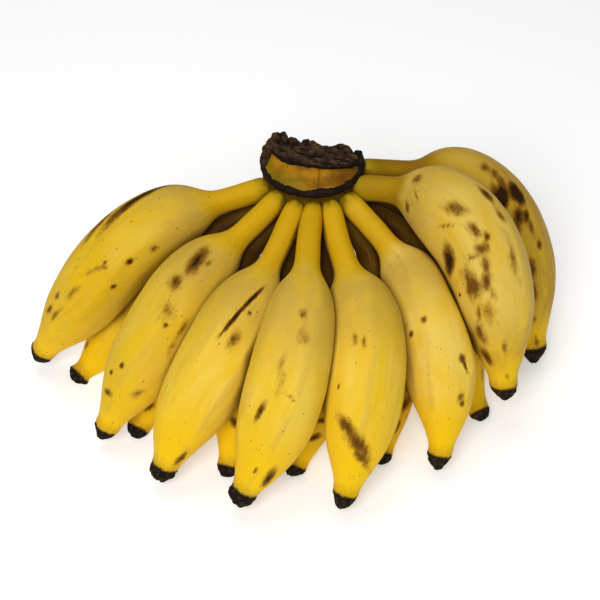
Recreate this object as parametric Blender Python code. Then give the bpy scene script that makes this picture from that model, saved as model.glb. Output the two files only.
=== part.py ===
"""A hand of short, plump dessert bananas, cut from the stalk and lying on a table.

The half-moon crown is uppermost.  Two rows of fruit fan out of its round flank: eight above and eight
below them, staggered so that each fruit of the top row lies in the gap between two of the lower row.
Every fruit arches over and drops to the table, and the hand rests on the blossom ends of the lower row.
Neighbouring fruit are pressed flat where they touch.

Metres, +Z up.  The table is z = 0, and the origin lies on it, below the middle of the whole hand.
The hand is modelled round the upright axis of the crown's flank and then moved onto the origin.
Headings are degrees anticlockwise from +X seen from above, so -90 is the middle of the fan.
"""

import math
from collections import namedtuple

import bmesh
import bpy
import numpy as np
from mathutils import Matrix, Vector

# Driving dimensions
GAP = 0.0006  # left between pieces that touch
CROWN_RADIUS = 0.0270  # the round flank that the fruit grow from
TOP_ROOT_HEIGHT = 0.097  # middle of the top row's necks on the flank
LOWER_ROOT_HEIGHT = 0.085  # middle of the lower row's necks
FRUIT_DEPTH = 1.12  # a fruit is deeper, in the plane of its bend, than it is wide

# Cross-section: five soft ridges, each with this many points to the next
RIDGES = 5
POINTS_PER_RIDGE = 3
FACE_DIP = 0.06  # how far a face lies inside the ridges, as a share of the radius
ROLL_STEP = 29  # degrees that each fruit's ridges are turned from those of the fruit before it

# Skin outline from the crown (0) to the blossom end (1): share of the length, share of the girth radius
OUTLINE = (
    (0.000, 0.31), (0.050, 0.29), (0.110, 0.285), (0.170, 0.30),  # neck
    (0.205, 0.42), (0.240, 0.62), (0.280, 0.78), (0.330, 0.90),  # shoulder
    (0.400, 0.965), (0.480, 0.995), (0.560, 1.00), (0.640, 0.98),  # belly
    (0.710, 0.92), (0.770, 0.82), (0.820, 0.69), (0.865, 0.54),  # taper
    (0.905, 0.405), (0.935, 0.335), (0.955, 0.33), (0.972, 0.31),  # dried blossom end
    (0.988, 0.18), (1.000, 0.08),
)
NECK_SHARE = 0.19  # where the neck ends in that outline
BELLY_SHARE = 0.56  # where it is widest
BEND_STATIONS = (0.0, 0.24, 0.58, 1.0)  # where a fruit's headings and drops are given, as shares of its length
STEPS = 120  # along a fruit, for working out its bend
PRESSES = 5  # passes over all pairs, because pressing one pair moves a third fruit's contact
SAME_POINT = 1e-6  # points closer together than this are one point

# root: heading of the neck's foot on the crown; lift: above its row's root height; girth: half the width;
# neck, belly: shares of the length at which the neck ends and the fruit is widest;
# headings, drops: where the fruit points, and how far below level, at BEND_STATIONS
Fruit = namedtuple("Fruit", "name root lift length girth neck belly headings drops")
TOP_ROW = (
    Fruit("banana_top_1", -156, -0.001, 0.164, 0.0192, 0.17, 0.50, (-164, -165, -152, -187), (7, 11, 48, 59)),
    Fruit("banana_top_2", -130, 0.000, 0.153, 0.0182, 0.21, 0.56, (-132, -143, -128, -157), (14, 24, 38, 62)),
    Fruit("banana_top_3", -108, -0.001, 0.160, 0.0182, 0.25, 0.58, (-108, -115, -132, -140), (8, 17, 43, 62)),
    Fruit("banana_top_4", -90, -0.001, 0.169, 0.0181, 0.27, 0.62, (-97, -92, -112, -148), (-4, 4, 55, 58)),
    Fruit("banana_top_5", -71, -0.001, 0.156, 0.0188, 0.255, 0.58, (-86, -69, -93, -117), (13, 16, 43, 60)),
    Fruit("banana_top_6", -50, -0.001, 0.146, 0.0185, 0.23, 0.57, (-42, -50, -70, -104), (18, 29, 40, 57)),
    Fruit("banana_top_7", -28, 0.001, 0.152, 0.0217, 0.14, 0.53, (-12, -32, -66, -76), (-12, -2, 55, 67)),
    Fruit("banana_top_8", 4, 0.000, 0.160, 0.0215, 0.18, 0.54, (11, 8, -60, -76), (9, 15, 48, 58)),
)
LOWER_ROW = (
    Fruit("banana_lower_1", 172, -0.001, 0.138, 0.0160, 0.18, 0.56, (160, 166, 195, 215), (48, 48, 40, 28)),
    Fruit("banana_lower_2", -147, 0.000, 0.146, 0.0165, 0.18, 0.56, (-171, -167, -160, -138), (5, 44, 48, 28)),
    Fruit("banana_lower_3", -124, 0.000, 0.138, 0.0165, 0.18, 0.56, (-138, -146, -139, -120), (3, 50, 46, 27)),
    Fruit("banana_lower_4", -102, 0.000, 0.134, 0.0160, 0.18, 0.56, (-108, -119, -112, -105), (5, 45, 49, 34)),
    Fruit("banana_lower_5", -80, 0.000, 0.130, 0.0160, 0.18, 0.56, (-77, -96, -101, -115), (5, 47, 50, 33)),
    Fruit("banana_lower_6", -58, 0.000, 0.130, 0.0160, 0.18, 0.56, (-40, -71, -81, -105), (3, 53, 48, 30)),
    Fruit("banana_lower_7", -37, 0.000, 0.134, 0.0165, 0.18, 0.56, (8, -42, -57, -65), (1, 50, 49, 27)),
    Fruit("banana_lower_8", -14, 0.000, 0.132, 0.0165, 0.18, 0.56, (18, 20, -5, -20), (30, 56, 38, 24)),
)

# Crown
CROWN_BASE = 0.077
CROWN_CHAMFER = 0.006
RIM_LOW = 0.1045  # the dark scar band that rings the crown above the necks
RIM_HIGH = 0.1075
RIM_PROUD = 0.0005
STUB_WIDTH = 0.0225  # half the width of the stub of the stalk, above the slope that rises from the band
STUB_FRONT = 0.0125  # how far the stub reaches from the middle towards the fruit
STUB_FOOT = 0.1150
STUB_TOP = 0.1350  # before the knife cut
KNIFE_CUT = (Vector((0.0, -0.0125, 0.1160)), Vector((0.35, 0.26, 1.0)))
BACK_CUT = (Vector((0.0, 0.0110, 0.1000)), Vector((-0.06, 1.0, 0.10)))
CROWN_SIDES = 40
SHARP_EDGE = 35  # degrees between faces whose edge is left sharp


def remove_everything():
    for obj in list(bpy.data.objects):
        bpy.data.objects.remove(obj, do_unlink=True)


def new_collection(name):
    collection = bpy.data.collections.new(name)
    bpy.context.scene.collection.children.link(collection)
    return collection


def plain_material(name, colour, roughness):
    material = bpy.data.materials.new(name)
    material.use_nodes = True
    shader = material.node_tree.nodes["Principled BSDF"]
    shader.inputs["Base Color"].default_value = (*colour, 1.0)
    shader.inputs["Roughness"].default_value = roughness
    shader.inputs["Metallic"].default_value = 0.0
    return material


def ridge_profile(guides):
    """The closed outline of a fruit's cross-section, as a curve that the paths are bevelled with."""
    curve = bpy.data.curves.new("ridge_profile", "CURVE")
    curve.dimensions = "2D"
    count = RIDGES * POINTS_PER_RIDGE
    spline = curve.splines.new("POLY")
    spline.points.add(count - 1)
    for i, point in enumerate(spline.points):
        angle = 2 * math.pi * i / count
        radius = 1 - FACE_DIP * (1 - math.cos(RIDGES * angle)) / 2
        point.co = (radius * math.cos(angle), radius * math.sin(angle) * FRUIT_DEPTH, 0, 1)
    spline.use_cyclic_u = True
    profile = bpy.data.objects.new("ridge_profile", curve)
    profile.hide_render = True
    profile.display_type = "WIRE"
    guides.objects.link(profile)
    return profile


def share_along(fruit, share):
    """Where a share of OUTLINE falls on this fruit, whose neck and belly have places of their own."""
    return np.interp(share, (0, NECK_SHARE, BELLY_SHARE, 1), (0, fruit.neck, fruit.belly, 1))


def spine(fruit, root_height):
    """Points along the middle of the fruit, evenly spaced from the crown to the blossom end."""
    middle = (np.arange(STEPS) + 0.5) / STEPS
    heading = np.radians(np.interp(middle, BEND_STATIONS, fruit.headings))
    drop = np.radians(np.interp(middle, BEND_STATIONS, fruit.drops))
    level = np.cos(drop)
    direction = np.stack([np.cos(heading) * level, np.sin(heading) * level, -np.sin(drop)], axis=1)
    foot = math.radians(fruit.root)
    reach = CROWN_RADIUS + GAP
    start = np.array([reach * math.cos(foot), reach * math.sin(foot), root_height + fruit.lift])
    return np.vstack([start, start + np.cumsum(direction, axis=0) * fruit.length / STEPS])


def fruit_mesh(fruit, points, profile, roll):
    """The fruit's skin: its spine bevelled with the ridged profile, and thick or thin as OUTLINE says."""
    curve = bpy.data.curves.new(fruit.name, "CURVE")
    curve.dimensions = "3D"
    curve.twist_mode = "Z_UP"
    curve.bevel_mode = "OBJECT"
    curve.bevel_object = profile
    spline = curve.splines.new("POLY")
    spline.points.add(len(OUTLINE) - 1)
    along = np.linspace(0, 1, len(points))
    for point, (share, radius) in zip(spline.points, OUTLINE):
        place = [np.interp(share_along(fruit, share), along, points[:, axis]) for axis in range(3)]
        point.co = (*place, 1)
        point.radius = radius * fruit.girth
        point.tilt = roll
    path = bpy.data.objects.new(fruit.name + "_path", curve)
    bpy.context.scene.collection.objects.link(path)
    bpy.context.view_layer.update()
    graph = bpy.context.evaluated_depsgraph_get()
    mesh = bpy.data.meshes.new_from_object(path.evaluated_get(graph))
    mesh.name = fruit.name
    bpy.data.objects.remove(path)
    return mesh


def close_ends(mesh):
    """Caps each open end with a fan of triangles round one middle point."""
    shape = bmesh.new()
    shape.from_mesh(mesh)
    bmesh.ops.remove_doubles(shape, verts=shape.verts, dist=SAME_POINT)
    open_edges = [edge for edge in shape.edges if edge.is_boundary]
    caps = bmesh.ops.holes_fill(shape, edges=open_edges, sides=0)["faces"]
    bmesh.ops.poke(shape, faces=caps)
    bmesh.ops.recalc_face_normals(shape, faces=shape.faces)
    shape.to_mesh(mesh)
    shape.free()


def contact_sheet(one, other):
    """Points midway between two neighbours' skins, all along the first, and the direction across there."""
    (points, radii), (others, other_radii) = one, other
    span = others[None] - points[:, None]
    distance = np.linalg.norm(span, axis=2)
    row = np.arange(len(points))
    nearest = distance.argmin(axis=1)
    across, apart = span[row, nearest], distance[row, nearest]
    share = (apart + radii - other_radii[nearest]) / (2 * apart)
    return points + across * share[:, None], across / apart[:, None]


def press(skin, sheet, side):
    """Moves the points of a skin that lie beyond a contact sheet back to it, less half the gap."""
    points, across = sheet
    nearest = np.linalg.norm(skin[:, None] - points[None], axis=2).argmin(axis=1)
    beyond = side * np.einsum("ij,ij->i", skin - points[nearest], across[nearest]) + GAP / 2
    return skin - side * np.maximum(beyond, 0)[:, None] * across[nearest]


def settle(skin):
    """Seats a skin on the crown's flank and on the table."""
    seated = skin.copy()
    reach = np.linalg.norm(skin[:, :2], axis=1)
    inside = np.maximum((CROWN_RADIUS + GAP) / reach, 1)
    seated[:, :2] *= inside[:, None]
    seated[:, 2] = np.maximum(seated[:, 2], 0)
    return seated


def press_together(skins, spines):
    """Flattens every pair of neighbours where they touch.  Later passes mend what a third fruit moved."""
    names = list(skins)
    pairs = [(a, b) for i, a in enumerate(names) for b in names[i + 1:]]
    for _ in range(PRESSES):
        for one, other in pairs:
            sheet = contact_sheet(spines[one], spines[other])
            skins[one] = press(skins[one], sheet, 1)
            skins[other] = press(skins[other], sheet, -1)
        for name in names:
            skins[name] = settle(skins[name])


def build_fruit(collection, guides, material):
    profile = ridge_profile(guides)
    meshes, skins, spines = {}, {}, {}
    rows = ((TOP_ROW, TOP_ROOT_HEIGHT), (LOWER_ROW, LOWER_ROOT_HEIGHT))
    for row, root_height in rows:
        for number, fruit in enumerate(row):
            points = spine(fruit, root_height)
            roll = math.radians(ROLL_STEP * number)
            mesh = fruit_mesh(fruit, points, profile, roll)
            close_ends(mesh)
            shares = [share_along(fruit, share) for share, _ in OUTLINE]
            radii = np.interp(np.linspace(0, 1, len(points)), shares, [r for _, r in OUTLINE]) * fruit.girth
            meshes[fruit.name] = mesh
            skins[fruit.name] = np.array([v.co for v in mesh.vertices])
            spines[fruit.name] = (points, radii)
    press_together(skins, spines)
    for name, mesh in meshes.items():
        mesh.vertices.foreach_set("co", skins[name].astype(np.float32).ravel())
        mesh.shade_smooth()
        mesh.materials.append(material)
        collection.objects.link(bpy.data.objects.new(name, mesh))


def cut_flat(shape, cut):
    """Slices the shape with a knife plane and closes it, keeping the side that the normal points away from."""
    point, normal = cut
    everything = shape.verts[:] + shape.edges[:] + shape.faces[:]
    bmesh.ops.bisect_plane(
        shape, geom=everything, plane_co=point, plane_no=normal, clear_outer=True, dist=SAME_POINT
    )
    bmesh.ops.holes_fill(shape, edges=[edge for edge in shape.edges if edge.is_boundary], sides=0)


def crown_level(face, height, half_width, front):
    """Spreads a face's round outline to a level of the crown: half an ellipse in front, half a circle behind."""
    for vert in face.verts:
        across, along = vert.co.xy.normalized()
        reach = front if along < 0 else CROWN_RADIUS
        vert.co = (across * half_width, along * reach, height)


def build_crown(collection, material):
    """The crown: a round drum with a scar band, a slope above it, and the stub of the stalk, cut by a knife."""
    rim = CROWN_RADIUS + RIM_PROUD
    levels = (
        (CROWN_BASE + CROWN_CHAMFER / 2, CROWN_RADIUS - CROWN_CHAMFER / 2, CROWN_RADIUS - CROWN_CHAMFER / 2),
        (CROWN_BASE + CROWN_CHAMFER, CROWN_RADIUS, CROWN_RADIUS),
        (RIM_LOW - RIM_PROUD, CROWN_RADIUS, CROWN_RADIUS),
        (RIM_LOW, rim, rim),
        (RIM_HIGH, rim, rim),
        (RIM_HIGH + RIM_PROUD, CROWN_RADIUS - RIM_PROUD, CROWN_RADIUS - RIM_PROUD),
        (STUB_FOOT, STUB_WIDTH, STUB_FRONT),
        (STUB_TOP, STUB_WIDTH, STUB_FRONT),
    )
    base_radius = CROWN_RADIUS - 2 * CROWN_CHAMFER
    shape = bmesh.new()
    bmesh.ops.create_cone(
        shape, cap_ends=True, segments=CROWN_SIDES, radius1=base_radius, radius2=base_radius,
        depth=CROWN_CHAMFER, matrix=Matrix.Translation((0, 0, CROWN_BASE + CROWN_CHAMFER / 2)),
    )
    top = max(shape.faces, key=lambda face: face.calc_center_median().z)
    crown_level(top, *levels[0])
    for level in levels[1:]:
        top = bmesh.ops.extrude_discrete_faces(shape, faces=[top])["faces"][0]
        crown_level(top, *level)
    cut_flat(shape, KNIFE_CUT)
    cut_flat(shape, BACK_CUT)
    bmesh.ops.recalc_face_normals(shape, faces=shape.faces)
    mesh = bpy.data.meshes.new("crown")
    shape.to_mesh(mesh)
    shape.free()
    mesh.shade_smooth()
    mesh.set_sharp_from_angle(angle=math.radians(SHARP_EDGE))
    mesh.materials.append(material)
    collection.objects.link(bpy.data.objects.new("crown", mesh))


def centre_on_origin(collection):
    """Moves the hand sideways, mesh by mesh, until the middle of its bounding box is over the origin."""
    meshes = [obj.data for obj in collection.objects]
    corners = np.array([vert.co for mesh in meshes for vert in mesh.vertices])
    middle = (corners.min(axis=0) + corners.max(axis=0)) / 2
    for mesh in meshes:
        mesh.transform(Matrix.Translation((-middle[0], -middle[1], 0)))


def main():
    remove_everything()
    bunch = new_collection("banana_hand")
    guides = new_collection("guides")
    skin = plain_material("ripe_skin", (0.78, 0.53, 0.04), 0.5)
    bark = plain_material("dried_crown", (0.07, 0.045, 0.03), 0.85)
    build_fruit(bunch, guides, skin)
    build_crown(bunch, bark)
    centre_on_origin(bunch)


main()
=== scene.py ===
"""A hand of short, plump ripe bananas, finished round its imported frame.

Each banana is grown from its frame node.  The mesh is closed up, its neck is run into the crown, its blossom
end is shaped, and it is subdivided, ridged and wrinkled.  Every banana carries a straightened copy of its own
coordinates, so streaks, specks and bruises follow its bend.  The crown is an olive flank with an orange
slope, a dark scar band, and the torn stub of the stalk.

Places on the crown are given in millimetres from its upright axis and from the table.
"""

import math
import random
from collections import namedtuple

import bmesh
import bpy
import numpy as np
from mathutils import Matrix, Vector
from mathutils.bvhtree import BVHTree


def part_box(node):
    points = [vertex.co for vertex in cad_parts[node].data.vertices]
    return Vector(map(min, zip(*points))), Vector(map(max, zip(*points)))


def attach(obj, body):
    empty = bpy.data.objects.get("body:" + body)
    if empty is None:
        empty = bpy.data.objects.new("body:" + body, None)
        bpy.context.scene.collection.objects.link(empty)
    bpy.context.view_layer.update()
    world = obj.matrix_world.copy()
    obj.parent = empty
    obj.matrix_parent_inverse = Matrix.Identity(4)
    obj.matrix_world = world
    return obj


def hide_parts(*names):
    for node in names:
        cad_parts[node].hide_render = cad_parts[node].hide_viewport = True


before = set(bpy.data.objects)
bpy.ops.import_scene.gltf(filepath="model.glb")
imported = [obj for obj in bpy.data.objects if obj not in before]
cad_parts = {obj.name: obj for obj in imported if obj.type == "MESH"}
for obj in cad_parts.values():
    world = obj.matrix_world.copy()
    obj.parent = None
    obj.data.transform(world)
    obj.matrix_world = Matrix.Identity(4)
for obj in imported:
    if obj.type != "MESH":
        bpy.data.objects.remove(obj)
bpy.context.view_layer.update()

bl_info = {
    "name": "Banana Hand",
    "version": (1, 0, 0),
    "blender": (4, 5, 0),
    "location": "View3D > Sidebar > Bananas",
    "description": "Grows a ripe banana hand, its dried crown and a plain stage round a packed frame",
    "category": "Object",
}

MM = 0.001

# The crown's flank is round, and the necks leave it squarely, so most places are given from its upright axis
CROWN_LOW, CROWN_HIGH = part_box("crown")
FRAME_RIM_RADIUS = 27.5 * MM
AXIS = Vector(((CROWN_LOW.x + CROWN_HIGH.x) / 2, CROWN_LOW.y + FRAME_RIM_RADIUS, 0))

TOP_ROW = [f"banana_top_{number}" for number in range(1, 9)]
LOWER_ROW = [f"banana_lower_{number}" for number in range(1, 9)]

# Where things are along a banana, as shares of its length from the crown to the blossom end
BELLY = (0.30, 0.42, 0.70, 0.86)  # the belly starts to rise, is full, is still full, and is gone
DRY_FROM_TOP, DRY_FROM_LOWER = 0.938, 0.960  # where the dried blossom end begins, in each row
DRY_EDGE = 0.014  # how far from there the end is fully dry
TUCKED_UNDER = (0.34, 0.48)  # how far a banana of the lower row lies wholly, and partly, under the top row
RIDGES = 5

# Bananas whose dried end is broken off flat, where the others have a nub
FLAT_ENDED = ("banana_top_3", "banana_top_4", *LOWER_ROW)

# How dull and brown a banana has gone, where that is not SOME_AGE
SOME_AGE = 0.15
AGE = {
    "banana_top_1": 0.50, "banana_top_2": 0.45, "banana_top_7": 1.0, "banana_top_8": 1.2,
    "banana_lower_3": 0.45, "banana_lower_5": 0.60, "banana_lower_6": 0.55, "banana_lower_8": 0.70,
}

# How far a banana's shoulder and belly have faded to cream, where they have
FADED = {
    "banana_top_2": 0.15, "banana_top_3": 0.30, "banana_top_4": 0.30, "banana_top_5": 0.25,
    "banana_top_6": 0.85, "banana_top_7": 0.65,
}

# A bruise or scar: where it is along the banana, its bearing round it in degrees from the uppermost line,
# its length and width in millimetres, how many degrees it is turned from the banana's own direction, and how
# dark it is
Mark = namedtuple("Mark", "share bearing length width turn depth")
MARKS = {
    "banana_top_1": (
        (0.36, 14, 30, 4, -15, 1.3), (0.47, 16, 16, 3, -15, 1.0), (0.39, -76, 4, 4, 0, 0.9),
        (0.47, -65, 3, 2.5, 20, 1.3), (0.56, -73, 2.5, 2.5, 0, 1.2), (0.52, -40, 7, 1, -50, 0.9),
        (0.55, -35, 10, 2.5, 25, 0.6), (0.65, -30, 10, 3, 0, 0.6), (0.75, -32, 11, 2.5, 0, 0.7),
        (0.70, -10, 4, 3, 0, 0.8), (0.76, -12, 6, 3, 10, 0.8),
    ),
    "banana_top_2": (
        (0.35, -12, 12, 6, -10, 1.2), (0.33, -32, 4, 2, 15, 0.7), (0.43, -7, 7, 6, 0, 0.9),
        (0.51, -22, 9, 8, -20, 0.55), (0.55, -31, 2, 2, 0, 1.3), (0.53, -60, 11, 3, 5, 0.7),
        (0.59, -59, 11, 2.5, -5, 0.7), (0.71, -4, 2.5, 2, 0, 1.3), (0.75, 11, 2.5, 2, 0, 1.2),
        (0.81, -2, 5, 3, 70, 1.0), (0.76, -58, 6, 4, 30, 0.6),
    ),
    "banana_top_3": (
        (0.39, -24, 13, 1.4, 15, 1.9), (0.45, -16, 14, 1.4, 10, 1.9), (0.50, -35, 8, 5, -15, 0.7),
        (0.42, -34, 1.5, 1.5, 0, 1.2), (0.88, -75, 10, 3, 0, 0.9),
    ),
    "banana_top_4": (
        (0.43, -12, 4, 3, -30, 0.9), (0.48, -23, 6, 5, -30, 0.6), (0.57, -5, 15, 4, -15, 0.5),
        (0.68, 6, 9, 2.5, 5, 1.1), (0.62, -33, 6, 1.2, -60, 0.8), (0.86, -72, 11, 4, -15, 1.1),
        (0.85, -33, 3.5, 1.5, 0, 0.9),
    ),
    "banana_top_5": (
        (0.49, 18, 6, 3.5, 0, 0.6), (0.50, 3, 5, 2, 0, 0.6), (0.73, 17, 12, 5, -50, 1.0),
        (0.77, -9, 16, 6, -50, 1.0), (0.81, -25, 15, 3.5, -50, 0.9), (0.62, 39, 2, 1.5, 0, 1.0),
    ),
    "banana_top_6": (
        (0.50, 26, 3, 2.5, 25, 1.0), (0.53, 55, 3, 2, 30, 1.2), (0.64, -25, 4, 3, -20, 1.1),
        (0.66, -29, 6, 1.3, -25, 1.2), (0.75, -24, 4, 3, 0, 0.9), (0.77, -30, 3, 2, -40, 1.0),
    ),
    "banana_top_7": (
        (0.23, 18, 5, 4, 65, 0.9), (0.25, 47, 7, 1.5, 50, 0.7), (0.22, 78, 6, 3, 80, 0.9),
        (0.37, 29, 10, 5, -40, 0.9), (0.39, 51, 10, 1.6, -55, 0.7), (0.44, 25, 7, 4, -30, 0.9),
        (0.47, 15, 3, 2.5, -15, 1.2), (0.49, 26, 6, 4, 90, 1.0), (0.50, 40, 8, 2, -80, 0.7),
        (0.48, 81, 14, 6, 30, 1.5), (0.53, 27, 10, 4, 5, 0.8), (0.57, 31, 7, 4, 5, 1.1),
        (0.57, 51, 13, 7, -10, 1.0), (0.61, 25, 7, 3, -10, 0.65), (0.66, 34, 11, 8, -15, 0.55),
        (0.66, 47, 13, 2.5, 0, 0.7), (0.73, 49, 9, 5, -5, 0.8), (0.82, 52, 8, 4.5, -10, 1.1),
        (0.78, 13, 6, 2.5, 5, 0.8), (0.39, -17, 6, 3.5, 0, 1.2), (0.44, -16, 6, 3, -10, 0.9),
        (0.54, -9, 16, 4, -5, 0.6), (0.60, 77, 2, 2, 0, 1.1), (0.90, 6, 4, 2, -10, 0.7),
    ),
    "banana_top_8": (
        (0.47, 3, 8, 6, -20, 2.1), (0.45, 24, 8, 6, 30, 2.0), (0.36, 13, 5, 5, 45, 0.8),
        (0.39, 12, 6, 5, -20, 0.8), (0.42, 14, 6, 5, 0, 0.9), (0.43, 31, 10, 5, 25, 1.0),
        (0.52, 15, 7, 5, 5, 1.3), (0.56, 21, 8, 6, 10, 0.8), (0.53, 3, 5, 4, 15, 1.2),
        (0.57, -2, 7, 4, -5, 0.9), (0.62, -11, 4.5, 4, 0, 1.0), (0.68, 10, 10, 4.5, 5, 1.1),
        (0.75, 10, 10, 4, 0, 0.8), (0.84, 11, 4, 3, -25, 0.7), (0.92, 7, 6, 3.5, -15, 0.7),
    ),
    "banana_lower_2": ((0.86, 19, 7, 3, 5, 0.6),),
    "banana_lower_3": ((0.88, -20, 7, 4, 30, 0.9),),
    "banana_lower_4": ((0.80, -4, 5, 4, -60, 1.1), (0.88, -30, 4, 2, 0, 0.8)),
    "banana_lower_5": (
        (0.77, -45, 7, 2.5, 80, 1.2), (0.84, -40, 6, 3, 60, 1.1), (0.80, -10, 8, 4, 20, 0.8),
    ),
    "banana_lower_6": ((0.78, -40, 8, 4, 20, 1.0), (0.86, -35, 7, 3, 0, 1.1)),
    "banana_lower_7": ((0.84, -30, 6, 3, 0, 0.6),),
}


# ---- Working with objects ----


def clear_selection():
    """Selects nothing, so that an operator can't reach an earlier piece."""
    for other in list(bpy.context.selected_objects):
        other.select_set(False)


def only(obj):
    """Selects one object and nothing else."""
    clear_selection()
    obj.select_set(True)
    bpy.context.view_layer.objects.active = obj


def added(name):
    """Names the primitive that an operator has just added."""
    obj = bpy.context.active_object
    obj.name = name
    obj.data.name = name
    return obj


def editing(obj, *steps):
    """Runs steps in edit mode, each a function of no arguments, with everything selected at the start."""
    only(obj)
    bpy.ops.object.mode_set(mode="EDIT")
    bpy.ops.mesh.select_all(action="SELECT")
    for step in steps:
        step()
    bpy.ops.object.mode_set(mode="OBJECT")


def settle_place(obj):
    """Moves an object's place, turn and size into its mesh."""
    only(obj)
    bpy.ops.object.transform_apply(location=True, rotation=True, scale=True)


def modified(obj, kind, **settings):
    """Adds a modifier and applies it."""
    only(obj)
    modifier = obj.modifiers.new(kind.title(), kind)
    for key, value in settings.items():
        setattr(modifier, key, value)
    bpy.ops.object.modifier_apply(modifier=modifier.name)


def subdivided(obj, levels):
    modified(obj, "SUBSURF", levels=levels, render_levels=levels)


def displaced(obj, size, height, group="", direction="NORMAL", **settings):
    """Roughens a surface with cloudy noise whose features are size across and height deep."""
    texture = bpy.data.textures.new(f"{obj.name}_clouds", "CLOUDS")
    texture.noise_scale = size
    for key, value in settings.items():
        setattr(texture, key, value)
    modified(
        obj, "DISPLACE", texture=texture, texture_coords="LOCAL", strength=height, mid_level=0.5,
        vertex_group=group, direction=direction,
    )
    bpy.data.textures.remove(texture)


def weigh(obj, name, weights):
    """Stores a weight for each vertex as a vertex group."""
    attribute = obj.data.attributes.new(name, "FLOAT", "POINT")
    attribute.data.foreach_set("value", np.asarray(weights, np.float32))
    obj.data.attributes.active = attribute
    only(obj)
    bpy.ops.geometry.attribute_convert(mode="VERTEX_GROUP")


def paint(mesh, name, values):
    """Stores a number or a vector for each vertex, for the materials to read."""
    values = np.asarray(values, np.float32)
    if values.ndim == 1:
        mesh.attributes.new(name, "FLOAT", "POINT").data.foreach_set("value", values)
    else:
        mesh.attributes.new(name, "FLOAT_VECTOR", "POINT").data.foreach_set("vector", values.ravel())


def corners(mesh):
    """A mesh's vertices as rows of x, y and z."""
    points = np.empty(len(mesh.vertices) * 3, np.float32)
    mesh.vertices.foreach_get("co", points)
    return points.reshape(-1, 3).astype(np.float64)


def set_corners(mesh, points):
    """Moves a mesh's vertices to those rows of x, y and z."""
    mesh.vertices.foreach_set("co", np.asarray(points, np.float32).ravel())
    mesh.update()


def smoothstep(value, low, high):
    """0 at low, 1 at high, and a smooth step between them."""
    share = np.clip((value - low) / (high - low), 0, 1)
    return share * share * (3 - 2 * share)


def finish_piece(obj, material, slot, *nodes):
    """Dresses a piece, shades it smooth and hangs it on the frame."""
    obj.data.materials.clear()
    obj.data.materials.append(material)
    only(obj)
    bpy.ops.object.shade_smooth()
    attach(obj, "root")
    if nodes:
        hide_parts(*nodes)
    clear_selection()


# ---- Writing materials ----


class Signal:
    """One number that changes over a surface.  Arithmetic on it adds Math nodes."""

    def __init__(self, recipe, socket):
        self.recipe = recipe
        self.socket = socket

    def math(self, operation, *others):
        node = self.recipe.node("ShaderNodeMath", {"operation": operation}, [self, *others])
        return Signal(self.recipe, node.outputs["Value"])

    def __add__(self, other):
        return self.math("ADD", other)

    def __mul__(self, other):
        return self.math("MULTIPLY", other)

    __radd__ = __add__
    __rmul__ = __mul__

    def __sub__(self, other):
        return self.math("SUBTRACT", other)

    def __rsub__(self, other):
        return (self * -1.0).math("ADD", other)

    def most(self, other):
        """The larger of the two."""
        return self.math("MAXIMUM", other)

    def rise(self, low, high):
        """0 below low, 1 above high, and a smooth step between them."""
        inputs = {"Value": self, "From Min": low, "From Max": high}
        node = self.recipe.node("ShaderNodeMapRange", {"interpolation_type": "SMOOTHSTEP"}, inputs)
        return Signal(self.recipe, node.outputs["Result"])

    def fall(self, low, high):
        """1 below low, 0 above high."""
        return 1.0 - self.rise(low, high)


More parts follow.
